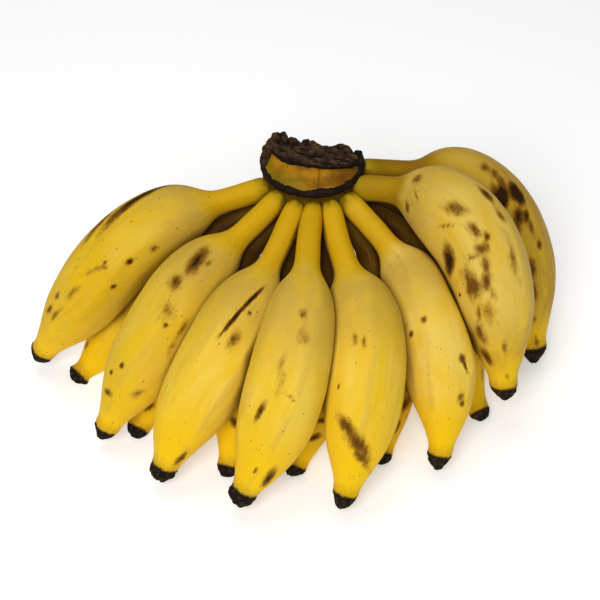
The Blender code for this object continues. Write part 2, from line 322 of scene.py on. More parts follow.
class Recipe:
    """A material being written: its node tree, and one way to add any node to it."""

    def __init__(self, name):
        self.material = bpy.data.materials.new(name)
        self.material.use_nodes = True
        self.tree = self.material.node_tree
        self.shader = self.tree.nodes["Principled BSDF"]
        self.colour = None

    def feed(self, socket, value):
        """Links a socket to a signal or another socket, or gives it a value."""
        if isinstance(value, Signal):
            value = value.socket
        if isinstance(value, bpy.types.NodeSocket):
            self.tree.links.new(value, socket)
        elif socket.type == "RGBA":
            socket.default_value = (*value[:3], 1.0)
        else:
            socket.default_value = value

    def node(self, kind, settings=(), inputs=()):
        """Adds a node: its settings first, and then its inputs, by name or in order."""
        node = self.tree.nodes.new(kind)
        for key, value in dict(settings).items():
            setattr(node, key, value)
        pairs = inputs.items() if isinstance(inputs, dict) else enumerate(inputs)
        for key, value in pairs:
            self.feed(node.inputs[key], value)
        return node

    def attribute(self, name):
        """A number painted on the mesh."""
        node = self.node("ShaderNodeAttribute", {"attribute_name": name})
        return Signal(self, node.outputs["Fac"])

    def place(self):
        """Coordinates in the frame's own metres."""
        return self.node("ShaderNodeTexCoord").outputs["Object"]

    def axis(self, vector, name):
        """The X, Y or Z of a vector."""
        node = self.node("ShaderNodeSeparateXYZ", inputs=[vector])
        return Signal(self, node.outputs[name])

    def stretched(self, vector, across, along):
        """Coordinates in which a feature of that size is one unit across and one unit along."""
        scale = (1 / across, 1 / across, 1 / along)
        return self.node("ShaderNodeVectorMath", {"operation": "MULTIPLY"}, [vector, scale]).outputs["Vector"]

    def noise(self, vector, across, along=None, detail=3.0, roughness=0.5, distortion=0.0):
        """Smooth noise about 0.5, with features of that size across and along."""
        inputs = {
            "Vector": self.stretched(vector, across, along or across),
            "Scale": 1.0, "Detail": detail, "Roughness": roughness, "Distortion": distortion,
        }
        node = self.node("ShaderNodeTexNoise", inputs=inputs)
        return Signal(self, node.outputs["Fac"])

    def cells(self, vector, across, along=None):
        """Distance to the nearest of scattered points, and a random number for that point."""
        inputs = {"Vector": self.stretched(vector, across, along or across), "Scale": 1.0}
        node = self.node("ShaderNodeTexVoronoi", inputs=inputs)
        chance = self.node("ShaderNodeSeparateColor", inputs=[node.outputs["Color"]]).outputs["Red"]
        return Signal(self, node.outputs["Distance"]), Signal(self, chance)

    def mix(self, amount, below, above):
        """Lays one colour over another.  A Mix node's sockets for colours are 6, 7 and, going out, 2."""
        node = self.node("ShaderNodeMix", {"data_type": "RGBA"}, {0: amount, 6: below, 7: above})
        return node.outputs[2]

    def lay(self, amount, above):
        """Lays a colour over the material's own."""
        self.colour = self.mix(amount, self.colour, above)

    def bump(self, height, strength, distance):
        """Roughens the shading, with distance as the real depth of a height of 1."""
        inputs = {"Height": height, "Strength": strength, "Distance": distance}
        self.feed(self.shader.inputs["Normal"], self.node("ShaderNodeBump", inputs=inputs).outputs["Normal"])

    def surface(self, **inputs):
        """Feeds the shader: surface(base_color=..., roughness=...)."""
        for key, value in inputs.items():
            name = key.replace("_", " ").title().replace("Ior", "IOR")
            self.feed(self.shader.inputs[name], value)


# What grow_banana paints on a banana for its material
PAINTED = ("share", "upper", "end", "ridge", "rub", "mark", "age", "faded", "tucked", "crevice")


def peel_material(peel):
    """Ripe peel: patchy, streaked and bruised yellow, olive at the crown and black at the blossom end."""
    recipe = Recipe("ripe_peel")
    flow = recipe.node("ShaderNodeAttribute", {"attribute_name": "flow"}).outputs["Vector"]
    share, upper, end, ridge, rub, mark, age, faded, tucked, crevice = map(recipe.attribute, PAINTED)

    broad = recipe.noise(flow, 24 * MM, 46 * MM, detail=2.0)
    patch = recipe.noise(flow, 8 * MM, 20 * MM, detail=4.0, roughness=0.6)
    streak = recipe.noise(flow, 2.2 * MM, 45 * MM, detail=3.0)
    grain = recipe.noise(flow, 0.9 * MM, 2.2 * MM, detail=2.0)
    ragged = recipe.noise(flow, 1.7 * MM, 2.6 * MM, detail=4.0, roughness=0.65)
    blotch = recipe.noise(flow, 4.0 * MM, 7.0 * MM, detail=5.0, roughness=0.62)

    # The yellow: pale on the belly, deeper in streaks, pure towards the blossom end, dull or cream where old
    pale = (broad * 0.55 + patch * 0.45).rise(0.42, 0.60)
    recipe.colour = recipe.mix(pale, peel.ripe_colour, peel.pale_colour)
    recipe.lay(streak.rise(0.48, 0.72) * 0.55, peel.deep_colour)
    lower_end = (share + patch * 0.10 - 0.05).rise(0.66, 0.84)
    recipe.lay(lower_end * 0.9, peel.bright_colour)
    patches = patch.rise(0.30, 0.62)
    dulled = age * (patches * 0.4 + 0.4) * share.fall(0.80, 0.95)
    recipe.lay(dulled, peel.dull_colour)
    cream = faded * (patches * 0.6 + 0.3) * (share + patch * 0.2 - 0.1).fall(0.62, 0.86)
    recipe.lay(cream, peel.faded_colour)
    shoulder = (upper + broad * 0.4 - 0.2).rise(0.85, 1.15) * (upper + patch * 0.5 - 0.25).fall(1.3, 1.9)
    recipe.lay(shoulder * (patch.rise(0.30, 0.60) * 0.5 + 0.4), peel.dusty_colour)
    recipe.lay(ridge.rise(0.55, 1.0) * patch.rise(0.45, 0.60) * 0.45, peel.dusty_colour)

    # The neck, and the olive collar where it leaves the crown
    neck = (upper + patch * 0.2 - 0.1).fall(0.75, 1.05)
    recipe.lay(neck * 0.9, peel.neck_colour)
    recipe.lay(neck * age.rise(0.4, 1.4) * (patch * 0.6 + 0.6), peel.old_neck_colour)
    collar = (share + patch * 0.03 + ragged * 0.012 - 0.02).fall(0.020, 0.060)
    recipe.lay(collar * 0.85, peel.collar_colour)

    # Painted shade where the rest of the hand hems the skin in and on the lower necks tucked under the top
    # row, brown where neighbours rub, and a thin painted shade line where they touch
    crevice_shade = (crevice + patch * 0.10 - 0.05).rise(peel.shade_from, peel.shade_full) * 0.8
    recipe.lay(crevice_shade, peel.shade_colour)
    # Painted shade on the lower row's necks where they lie under the top row
    tucked_shade = tucked * crevice.rise(0.20, 0.40) * (0.80 + patch * 0.28)
    recipe.lay(tucked_shade, peel.tucked_shade_colour)
    contact = (rub + ragged * 0.5 + patch * 0.6 - 0.55).rise(0.50, 0.90) * share.rise(0.10, 0.18)
    recipe.lay(contact * 0.85, peel.bruise_colour)
    # A thin line of painted shade where neighbours touch
    seam = (rub + ragged * 0.2 - 0.1).rise(0.66, 0.92) * upper.rise(0.25, 0.6)
    recipe.lay(seam * 0.9, peel.tucked_shade_colour)

    # Bruises have a tan edge, and the deepest a nearly black heart
    uneven = mark + (ragged - 0.5) * 0.55 + (blotch - 0.5) * 0.95
    stain = uneven.rise(0.06, 0.58) * mark.rise(0.02, 0.16)
    bruise = uneven.rise(0.34, 0.78)
    heart = uneven.rise(0.76, 1.12)
    recipe.lay(stain * 0.68, peel.stain_colour)
    recipe.lay(bruise * 0.9, peel.bruise_colour)
    recipe.lay(heart * 0.9, peel.heart_colour)

    # Specks: scattered freckles, and fine peppering in loose crowds
    spot, chance = recipe.cells(flow, 5.0 * MM, 6.0 * MM)
    freckle = (spot + grain * 0.06).fall(0.075, 0.125) * chance.rise(0.50, 0.55)
    fine, fine_chance = recipe.cells(flow, 1.9 * MM)
    crowd = recipe.noise(flow, 9 * MM, 12 * MM, detail=2.0).rise(0.55, 0.68)
    pepper = fine.fall(0.12, 0.26) * fine_chance.rise(0.55, 0.60) * crowd
    specks = freckle.most(pepper * 0.7) * share.rise(0.06, 0.16)
    recipe.lay(specks * 0.85, peel.speck_colour)

    # The blossom end has dried black, with a narrow scorched edge
    scorch = (end + ragged * 0.05 - 0.025).rise(-0.042, 0.012)
    dry = (end + ragged * 0.016 - 0.008).rise(0.0, 0.012)
    recipe.lay(scorch * 0.5, peel.stain_colour)
    dried = recipe.mix(ragged.rise(0.46, 0.70) * 0.8, peel.dry_colour, peel.bark_colour)
    recipe.lay(dry, dried)

    roughness = 0.44 + patch * 0.14 + bruise.most(dry) * 0.30 - specks * 0.05
    recipe.surface(base_color=recipe.colour, roughness=roughness, specular_ior_level=peel.shine)
    height = grain * 0.35 + streak * 0.6 + patch * 0.5 - specks * 0.6 - bruise * 0.9 + ragged * (dry * 3.0)
    recipe.bump(height, 0.35, 0.5 * MM)
    return recipe.material


def flank_material(crown):
    """The living part of the crown: olive-brown flank below the band, orange-yellow slope above it."""
    recipe = Recipe("crown_flank")
    place = recipe.place()
    height = recipe.axis(place, "Z")
    side = recipe.axis(place, "X") - AXIS.x
    broad = recipe.noise(place, 9 * MM, detail=3.0)
    fibre = recipe.noise(place, 1.6 * MM, 12 * MM, detail=3.0)
    pits, chance = recipe.cells(place, 2.2 * MM)
    recipe.colour = recipe.mix(broad.rise(0.38, 0.60), crown.slope_colour, crown.amber_colour)
    left = 0.0 - side + broad * (20 * MM) - 8 * MM
    green = left.rise(-3 * MM, 12 * MM) * height.fall(108.5 * MM, 112.5 * MM)
    recipe.lay(green * 0.6, crown.olive_colour)
    seam = (side - 4.2 * MM + broad * (2 * MM)).math("ABSOLUTE").fall(0.1 * MM, 0.9 * MM)
    recipe.lay(seam * 0.55, crown.brown_colour)
    brown_end = (side + broad * (8 * MM)).rise(8 * MM, 20 * MM)
    recipe.lay(brown_end * 0.7, crown.brown_colour)
    under_band = height.fall(102.5 * MM, 105.0 * MM)
    bare = height.rise(97 * MM, 102 * MM).most(fibre.rise(0.45, 0.7))
    skirt = recipe.mix(bare, crown.olive_colour, crown.brown_colour)
    recipe.lay(under_band, skirt)
    freckle = pits.fall(0.10, 0.20) * chance.rise(0.62, 0.66)
    recipe.lay(freckle * 0.7, crown.band_colour)
    recipe.surface(base_color=recipe.colour, roughness=0.50 + broad * 0.2, specular_ior_level=0.1)
    recipe.bump(broad * 0.8 + fibre * 0.5 - seam * 0.6 - freckle * 0.4, 0.5, 0.6 * MM)
    return recipe.material


def band_material(crown):
    """The scar band: hard, dark and finely cracked."""
    recipe = Recipe("scar_band")
    place = recipe.place()
    broad = recipe.noise(place, 5 * MM, detail=3.0)
    fine = recipe.noise(place, 0.9 * MM, detail=4.0, roughness=0.7)
    colour = recipe.mix((broad * 0.4 + fine * 0.6).rise(0.45, 0.70), crown.band_colour, crown.rim_colour)
    recipe.surface(base_color=colour, roughness=0.72, specular_ior_level=0.1)
    recipe.bump(fine + broad * 0.5, 0.7, 0.4 * MM)
    return recipe.material


def stub_material(crown):
    """Dried stalk: grey-brown torn fibres, with painted shade black in their hollows and a black painted
    shadow on the wall below the torn top.
    """
    recipe = Recipe("torn_stub")
    place = recipe.place()
    side = recipe.axis(place, "X") - AXIS.x
    along = recipe.axis(place, "Y") - AXIS.y
    front_level = TOP_FRONT[2] + TOP_FRONT[0] * TOP_SLOPE[0] + TOP_FRONT[1] * TOP_SLOPE[1]
    level = recipe.axis(place, "Z") + side * TOP_SLOPE[0] + along * TOP_SLOPE[1] - front_level * MM
    across = recipe.node("ShaderNodeVectorMath", {"operation": "MULTIPLY"}, [place, (0.3, 1.0, 1.0)])
    fibre = recipe.noise(across.outputs["Vector"], 1.0 * MM, detail=5.0, roughness=0.7, distortion=0.5)
    broad = recipe.noise(place, 4 * MM, detail=4.0, roughness=0.6)
    tone = (broad * 0.4 + fibre * 0.6).rise(0.41, 0.60) * 0.92 + 0.08
    # Painted shadow on the wall under the overhanging torn top, weaker towards the left end
    wall = (level + broad * (1.2 * MM) - 0.6 * MM).fall(-1.9 * MM, -0.9 * MM)
    left_end = (side - along * 0.3 + broad * (3 * MM)).fall(-20 * MM, -17 * MM)
    # Painted shade: the wall's shadow and the hollows of the torn top are darkened nearly to black
    dark = (wall * (1.0 - left_end * 0.7)).most(recipe.attribute("hollow"))
    lightness = tone * (1.0 - dark * 0.95)
    colour = recipe.mix(lightness, crown.stub_shade_colour, crown.bark_colour)
    recipe.surface(base_color=colour, roughness=0.85, specular_ior_level=0.15)
    recipe.bump(fibre + broad * 0.5, 0.9, 0.6 * MM)
    return recipe.material


def floor_material(stage):
    """A plain pale floor that glows slightly, as a lit backdrop does."""
    recipe = Recipe("pale_floor")
    mottle = recipe.noise(recipe.place(), 0.6, detail=1.0)
    dimmer = tuple(channel * 0.985 for channel in stage.floor_colour)
    recipe.surface(base_color=recipe.mix(mottle, stage.floor_colour, dimmer), roughness=0.7)
    recipe.surface(emission_color=(1.0, 1.0, 1.0), emission_strength=stage.floor_glow)
    return recipe.material


# ---- Growing a banana ----

WELD = 0.02 * MM  # corners of the frame's loose triangles that are closer than this are one
PAIRING = math.radians(70)  # how bent two triangles may be against each other and still make a quad
NECK_INTO_CROWN = 3.4 * MM
NECK_FLARE = 1.10
FLAT_NUB = 0.12  # how much of its nub a flat end keeps
NUB_REACHES = (0.25, 0.8, 1.0)  # how far along the nub the last three rings are drawn
NUB_WIDTHS = (1.15, 1.35)  # how the first two of them are widened
FLAT_WIDTHS = (1.2, 1.9)  # the same, on a flat end
DETAIL_LEVELS = 3
SPINE_POINTS = 160
SMOOTHING = 9  # points of the spine that are averaged
STATIONS = 40  # along a banana, for measuring its thickness
RUB_REACH = 3.0 * MM  # how near a neighbour leaves its mark
FLOW_STEP = 0.31  # sets the patterns of one banana apart from those of the next

# Rays that find how far a banana is hemmed in: their number, where they start and how far they reach
HEM_RAYS = 48
HEM_START = 1.5 * MM
HEM_REACH = 60 * MM


def copied_node(node, name):
    """A free copy of a frame node, its loose triangles joined up and paired into quads."""
    piece = bpy.data.objects.new(name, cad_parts[node].data.copy())
    piece.data.name = name
    bpy.context.scene.collection.objects.link(piece)
    only(piece)
    bpy.ops.mesh.customdata_custom_splitnormals_clear()
    editing(
        piece,
        lambda: bpy.ops.mesh.remove_doubles(threshold=WELD),
        lambda: bpy.ops.mesh.tris_convert_to_quads(face_threshold=PAIRING, shape_threshold=PAIRING),
    )
    return piece


def rings_of(mesh):
    """The vertices ring by ring, from the pole in the crown to the pole at the blossom end."""
    shape = bmesh.new()
    shape.from_mesh(mesh)
    poles = sorted(shape.verts, key=lambda vert: -len(vert.link_edges))[:2]
    root = min(poles, key=lambda vert: (vert.co - AXIS).xy.length)
    level, ring, rings = {root: 0}, [root], []
    while ring:
        rings.append([vert.index for vert in ring])
        following = []
        for vert in ring:
            for edge in vert.link_edges:
                other = edge.other_vert(vert)
                if other not in level:
                    level[other] = len(rings)
                    following.append(other)
        ring = following
    shape.free()
    return rings


def shape_ends(mesh, rings, nub, lean, widths):
    """Runs the neck into the crown with a slight flare, and draws the last rings out to a nub.

    Gives back the middles of the rings.
    """
    points = corners(mesh)
    middles = [points[ring].mean(axis=0) for ring in rings]
    inwards = middles[1] - middles[3]
    inwards /= np.linalg.norm(inwards)
    for ring in rings[:2]:
        points[ring] = middles[1] + (points[ring] - middles[1]) * NECK_FLARE + inwards * NECK_INTO_CROWN
    outwards = middles[-2] - middles[-5]
    outwards /= np.linalg.norm(outwards)
    aside = np.cross(outwards, (0, 0, 1)) * lean
    for ring, reach, width in zip(rings[-3:], NUB_REACHES, (*widths, 1.0)):
        middle = points[ring].mean(axis=0)
        points[ring] = middle + (points[ring] - middle) * width + (outwards + aside) * nub * reach
    set_corners(mesh, points)
    return [points[ring].mean(axis=0) for ring in rings]


class Straightened:
    """A banana's points as they would lie if it were straight: along, share, bearing and reach of each."""

    def __init__(self, points, middles):
        knots = np.concatenate([[0], np.cumsum(np.linalg.norm(np.diff(middles, axis=0), axis=1))])
        self.length = knots[-1]
        stations = np.linspace(0, self.length, SPINE_POINTS)
        spine = np.stack([np.interp(stations, knots, places) for places in np.transpose(middles)], axis=1)
        padded = np.pad(spine, ((SMOOTHING // 2,) * 2, (0, 0)), mode="reflect", reflect_type="odd")
        kernel = np.ones(SMOOTHING) / SMOOTHING
        spine = np.stack([np.convolve(places, kernel, mode="valid") for places in padded.T], axis=1)
        ahead = np.gradient(spine, axis=0)
        ahead /= np.linalg.norm(ahead, axis=1)[:, None]
        up = np.array((0, 0, 1.0)) - ahead * ahead[:, 2:3]
        up /= np.linalg.norm(up, axis=1)[:, None]
        side = np.cross(ahead, up)
        squares = (points**2).sum(axis=1)[:, None] + (spine**2).sum(axis=1) - 2 * points @ spine.T
        nearest = squares.argmin(axis=1)
        offset = points - spine[nearest]
        self.along = stations[nearest] + np.einsum("ij,ij->i", offset, ahead[nearest])
        self.share = self.along / self.length
        across = np.einsum("ij,ij->i", offset, side[nearest])
        above = np.einsum("ij,ij->i", offset, up[nearest])
        self.bearing = np.arctan2(across, above)
        self.reach = np.hypot(across, above)

    def full(self):
        """1 on the belly, falling to 0 on the neck and towards the blossom end."""
        rise, full, still, gone = BELLY
        return smoothstep(self.share, rise, full) * (1 - smoothstep(self.share, still, gone))

    def thickness(self):
        """The mean reach from the spine, at each point's station and at every station."""
        stations = np.clip(np.digitize(self.share, np.linspace(0, 1, STATIONS)), 1, STATIONS - 1)
        counts = np.bincount(stations, minlength=STATIONS)
        means = np.bincount(stations, self.reach, STATIONS) / np.maximum(counts, 1)
        return means[stations], means

    def neck_end(self):
        """The share at which the banana has swollen to half its full thickness."""
        means = self.thickness()[1]
        return int(np.argmax(means > means.max() / 2)) / STATIONS

    def ridges(self):
        """1 on the crests of the five ridges that the frame's section has, and -1 half-way between them."""
        excess = self.reach / self.thickness()[0] - 1
        phase = np.angle((excess * self.full() * np.exp(1j * RIDGES * self.bearing)).sum())
        return np.cos(RIDGES * self.bearing - phase)


def mark_field(straight, marks):
    """How deep in a bruise each point is.  A bruise of depth 1 has 0.5 on its outline and 1 in its middle."""
    field = np.zeros(len(straight.share))
    for mark in map(Mark._make, marks):
        ahead = straight.along - mark.share * straight.length
        turned = (straight.bearing - math.radians(mark.bearing) + math.pi) % (2 * math.pi) - math.pi
        across = turned * straight.reach
        cos, sin = math.cos(math.radians(mark.turn)), math.sin(math.radians(mark.turn))
        lengthwise = (ahead * cos + across * sin) / (mark.length / 2 * MM)
        sideways = (across * cos - ahead * sin) / (mark.width / 2 * MM)
        field = np.maximum(field, (1 - np.hypot(lengthwise, sideways) / 2) * mark.depth)
    return field


def tree_of(nodes):
    """Frame nodes in one tree, for finding what is near or in the way."""
    shape = bmesh.new()
    for node in nodes:
        shape.from_mesh(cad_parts[node].data)
    tree = BVHTree.FromBMesh(shape)
    shape.free()
    return tree


def rubbing(points, name, reach):
    """1 where another banana touches, falling to 0 at reach."""
    tree = tree_of(other for other in TOP_ROW + LOWER_ROW if other != name)
    distances = (tree.find_nearest(point, reach)[3] for point in map(Vector, points))
    return np.array([1 - min((reach if gap is None else gap) / reach, 1) for gap in distances])


def spread_directions(count):
    """Directions spread evenly over a half-ball about +Z, closer together near its top."""
    golden = math.pi * (3 - math.sqrt(5))
    for step in range(count):
        reach = math.sqrt((step + 0.5) / count)
        turn = golden * step
        yield Vector((reach * math.cos(turn), reach * math.sin(turn), math.sqrt(1 - reach**2)))


def hemmed_in(mesh, tree):
    """What share of the directions from each vertex is blocked by the hand itself."""
    directions = list(spread_directions(HEM_RAYS))
    shares = []
    for vertex in mesh.vertices:
        turn = Vector((0, 0, 1)).rotation_difference(vertex.normal)
        start = vertex.co + vertex.normal * HEM_START
        hits = sum(tree.ray_cast(start, turn @ way, HEM_REACH)[0] is not None for way in directions)
        shares.append(hits / HEM_RAYS)
    return shares


def grow_banana(node, peel, material, number, tree):
    """Grows one banana from its frame node.  The number sets it apart from the others."""
    chance = random.Random(number)
    piece = copied_node(node, node.replace("banana", "ripe_banana"))
    mesh = piece.data
    rings = rings_of(mesh)
    flat = node in FLAT_ENDED
    nub = chance.uniform(0.4, 1.0) * peel.nub_length * (FLAT_NUB if flat else 1)
    middles = shape_ends(mesh, rings, nub, chance.uniform(-0.4, 0.4), FLAT_WIDTHS if flat else NUB_WIDTHS)
    # How far each vertex is hemmed in by the hand, which the peel turns into painted shade
    paint(mesh, "crevice", hemmed_in(mesh, tree))
    modified(piece, "DISPLACE", strength=peel.plumpness, mid_level=0.0)
    subdivided(piece, DETAIL_LEVELS)

    straight = Straightened(corners(mesh), middles)
    crest = np.maximum(straight.ridges(), 0) ** 2
    weigh(piece, "crest", crest * straight.full())
    end = straight.share - (DRY_FROM_TOP if node in TOP_ROW else DRY_FROM_LOWER)
    weigh(piece, "dried_end", smoothstep(end, 0, DRY_EDGE))
    modified(piece, "DISPLACE", strength=peel.ridge_height, mid_level=0.0, vertex_group="crest")
    displaced(piece, 26 * MM, peel.lump_height, noise_depth=1)
    displaced(piece, 3.0 * MM, 1.1 * MM, group="dried_end", noise_depth=1)
    displaced(piece, 1.0 * MM, 0.5 * MM, group="dried_end", noise_depth=1)
    points = corners(mesh)
    points[:, 2] = np.maximum(points[:, 2], 0)
    set_corners(mesh, points)

    cross = np.stack([np.sin(straight.bearing), np.cos(straight.bearing)], axis=1) * straight.reach[:, None]
    paint(mesh, "flow", np.column_stack([cross, straight.along]) + number * FLOW_STEP)
    paint(mesh, "share", straight.share)
    paint(mesh, "upper", straight.share / straight.neck_end())
    paint(mesh, "end", end)
    paint(mesh, "faded", np.full(len(points), FADED.get(node, 0.0)))
    paint(mesh, "ridge", crest)
    paint(mesh, "rub", rubbing(points, node, RUB_REACH))
    paint(mesh, "mark", mark_field(straight, MARKS.get(node, ())))
    # Where a lower banana lies under the top row, for the peel's painted shade
    paint(mesh, "tucked", (1 - smoothstep(straight.share, *TUCKED_UNDER)) * (node in LOWER_ROW))
    paint(mesh, "age", np.full(len(points), AGE.get(node, SOME_AGE)))
    piece.vertex_groups.clear()
    finish_piece(piece, material, "banana_skin", node)


# ---- Making the crown ----

FLANK_RADIUS = 25.6
FLANK_LOW, BAND_HEIGHT, SLOPE_FOOT, SLOPE_TOP = 79, 104.6, 106.3, 113  # heights above the table
ROUND_SIDES = 96  # of the cylinders that the flank and the stub are cut from

# The crown is cut off this far behind its axis, on a plane that leans a little.  The flank stops short of it
BACK = 10
BACK_LEAN = (-0.06, 1.0, 0.1)
BAND_BACK, BAND_LEAN = 6, (-0.05, 1.0, 0.0)  # the same for the scar band
FLANK_SHORT = 0.8

# The stub's outline, in plan, is an ellipse: its middle and its half-axes
STUB_MIDDLE = (1.5, -1.2)
STUB_REACH = (21.8, 13.4)
STUB_CENTRE, STUB_DEPTH = 106, 36  # in height, before its top is cut

# The torn top slopes down to the right and to the back from its highest place at the front
TOP_FRONT = (4, -14.5, 115.6)
TOP_SLOPE = (0.19, 0.27)
WALL = 3.0  # how far the orange slope ends below the torn top
FIBRE_SQUASH = 0.35  # how far the stub is squashed while it is torn, to draw its fibres out

SAME_PLACE = 0.001 * MM  # how near a cut a corner may lie and count as being on it

# Voxels in which the pieces are rebuilt as one skin
FLANK_VOXEL, BAND_VOXEL, STUB_VOXEL = 0.7 * MM, 0.4 * MM, 0.45 * MM

# Lumps of dried bark (x, y, height, radius), and what sets their random stretching
BARK_SEED = 7
BARK_LUMPS = (
    # Up the left end
    (-24.3, -6.0, 106.0, 2.0), (-24.2, -4.0, 108.5, 2.5), (-23.6, -2.5, 111.0, 2.8),
    (-22.4, -1.0, 114.0, 3.1),
    # The knob on top of it
    (-20.8, 1.0, 116.0, 3.1), (-18.4, 3.0, 117.0, 3.2), (-15.0, 3.8, 116.2, 2.7), (-19.5, 4.0, 112.0, 4.0),
    # The right end
    (22.0, -2.0, 103.6, 2.4), (23.8, -4.0, 104.4, 2.4), (19.0, 2.0, 104.5, 2.6),
    # Along the back edge
    (-4.0, 9.0, 110.6, 1.5), (-2.4, 8.4, 111.6, 1.1), (7.4, 8.0, 108.8, 1.2), (13.5, 7.0, 107.6, 1.7),
)


def at(x, y, z):
    """A place given in millimetres from the crown's axis and the table."""
    return AXIS + Vector((x, y, z)) * MM


def millimetres(mesh):
    """A mesh's vertices in millimetres from the crown's axis and the table."""
    return (corners(mesh) - np.array(AXIS)) / MM


def torn_level(x, y):
    """Height of the torn top, before it was torn, at a place given in millimetres."""
    return TOP_FRONT[2] - (x - TOP_FRONT[0]) * TOP_SLOPE[0] - (y - TOP_FRONT[1]) * TOP_SLOPE[1]


def remeshed(obj, voxel):
    """Rebuilds a piece, and whatever overlaps in it, as one even skin."""
    modified(obj, "REMESH", mode="VOXEL", voxel_size=voxel)


def sliced(obj, place, normal):
    """Cuts off what lies beyond a plane, and closes the cut."""
    cut = {"plane_co": place, "plane_no": normal, "threshold": SAME_PLACE}
    editing(obj, lambda: bpy.ops.mesh.bisect(use_fill=True, clear_outer=True, **cut))


def joined(name, pieces):
    """Joins objects into one."""
    clear_selection()
    for piece in pieces:
        piece.select_set(True)
    bpy.context.view_layer.objects.active = pieces[0]
    bpy.ops.object.join()
    return added(name)


def make_flank(crown):
    """The drum that the necks grow from, with the slope that rises from the scar band to the stub."""
    clear_selection()
    bpy.ops.mesh.primitive_cylinder_add(
        vertices=ROUND_SIDES, radius=FLANK_RADIUS * MM, depth=(SLOPE_FOOT - FLANK_LOW) * MM,
        location=at(0, 0, (SLOPE_FOOT + FLANK_LOW) / 2),
    )
    drum = added("crown_flank")
    settle_place(drum)
    editing(drum, lambda: bpy.ops.mesh.select_all(action="DESELECT"))
    max(drum.data.polygons, key=lambda face: face.center.z).select = True
    rise = Vector((*STUB_MIDDLE, SLOPE_TOP - SLOPE_FOOT)) * MM
    narrowing = (STUB_REACH[0] / FLANK_RADIUS, STUB_REACH[1] / FLANK_RADIUS, 1)
    bpy.ops.object.mode_set(mode="EDIT")
    bpy.ops.mesh.select_mode(type="FACE")
    bpy.ops.mesh.extrude_region_move(TRANSFORM_OT_translate={"value": rise})
    bpy.ops.transform.resize(value=narrowing, center_override=at(*STUB_MIDDLE, SLOPE_TOP))
    bpy.ops.mesh.select_mode(type="VERT")
    bpy.ops.object.mode_set(mode="OBJECT")
    sliced(drum, at(*TOP_FRONT[:2], TOP_FRONT[2] - WALL), (*TOP_SLOPE, 1.0))
    sliced(drum, at(0, BACK - FLANK_SHORT, 90), BACK_LEAN)
    remeshed(drum, FLANK_VOXEL)
    modified(drum, "SMOOTH", factor=0.5, iterations=5)
    displaced(drum, 7 * MM, 1.2 * MM, noise_depth=1)
    displaced(drum, 1.6 * MM, 0.25 * MM, noise_depth=1)
    finish_piece(drum, flank_material(crown), "crown", "crown")


def make_band(crown):
    """The dark scar left where a leafy bract fell off: a rough lip round the crown above the necks."""
    clear_selection()
    bpy.ops.mesh.primitive_torus_add(
        major_segments=160, minor_segments=20, major_radius=crown.band_radius,
        minor_radius=crown.band_thickness / 2, location=at(0, 0, BAND_HEIGHT),
    )
    band = added("scar_band")
    settle_place(band)
    sliced(band, at(0, BAND_BACK, 104), BAND_LEAN)
    remeshed(band, BAND_VOXEL)
    displaced(band, 6 * MM, 1.2 * MM, noise_depth=1)
    displaced(band, 1.4 * MM, 0.5 * MM, noise_depth=2)
    finish_piece(band, band_material(crown), "crown")


def widened(obj, share):
    """Scales a piece from end to end of the crown, about its axis."""
    editing(obj, lambda: bpy.ops.transform.resize(value=(share, 1, 1), center_override=AXIS))


def make_stub(crown):
    """The torn stub of the stalk: a block with a ragged, sloping top and a knob at its left end."""
    chance = random.Random(BARK_SEED)
    clear_selection()
    bpy.ops.mesh.primitive_cylinder_add(
        vertices=ROUND_SIDES, radius=1.0, depth=STUB_DEPTH * MM, location=at(*STUB_MIDDLE, STUB_CENTRE)
    )
    block = added("stub_block")
    block.scale = (STUB_REACH[0] * MM, STUB_REACH[1] * MM, 1.0)
    settle_place(block)
    sliced(block, at(*TOP_FRONT), (*TOP_SLOPE, 1.0))
    sliced(block, at(0, BACK, 90), BACK_LEAN)
    pieces = [block]
    for x, y, z, radius in BARK_LUMPS:
        clear_selection()
        bpy.ops.mesh.primitive_ico_sphere_add(subdivisions=3, radius=radius * MM, location=at(x, y, z))
        lump = added("bark_lump")
        lump.scale = (chance.uniform(0.9, 1.2), chance.uniform(0.8, 1.1), chance.uniform(0.9, 1.2))
        settle_place(lump)
        pieces.append(lump)
    stub = joined("torn_stub", pieces)
    remeshed(stub, STUB_VOXEL)

    # Fibres run from end to end, so the top is torn while the stub is squashed that way
    whole = millimetres(stub.data)
    weigh(stub, "torn", smoothstep(whole[:, 2] - torn_level(whole[:, 0], whole[:, 1]), -1.0, -0.2))
    widened(stub, FIBRE_SQUASH)
    displaced(stub, 3.0 * MM, 4.4 * MM, group="torn", direction="Z", noise_depth=0, contrast=1.8)
    displaced(stub, 1.1 * MM, 1.3 * MM, group="torn", direction="Z", noise_depth=1, contrast=1.5)
    widened(stub, 1 / FIBRE_SQUASH)
    torn = millimetres(stub.data)
    displaced(stub, 2.6 * MM, 0.9 * MM, noise_depth=1)
    # How deep each point lies in a hollow of the torn top, for its painted shade
    paint(stub.data, "hollow", smoothstep(whole[:, 2] - torn[:, 2], 0.0, 0.9))
    stub.vertex_groups.clear()
    finish_piece(stub, stub_material(crown), "crown")


# ---- The stage ----

TARGET = at(-6.3, -35.5, 40.0)  # what the camera and the lamps look at
FLOOR_SIZE = 5.0
FLOOR_LOW = 0.2 * MM  # the floor lies this far below the fruit, so that the two don't flicker where they meet
SENSOR_WIDTH = 36.0

# Soft lamps: name, place from the target, and size
FRONT_SOFTBOX = ("front_softbox", (-0.22, -0.95, 0.95), 0.7)
OVERHEAD_SOFTBOX = ("overhead_softbox", (-0.10, 0.25, 1.25), 0.8)


def aimed(obj, target):
    """Turns a lamp or a camera towards a place."""
    obj.rotation_euler = (target - obj.location).to_track_quat("-Z", "Y").to_euler()


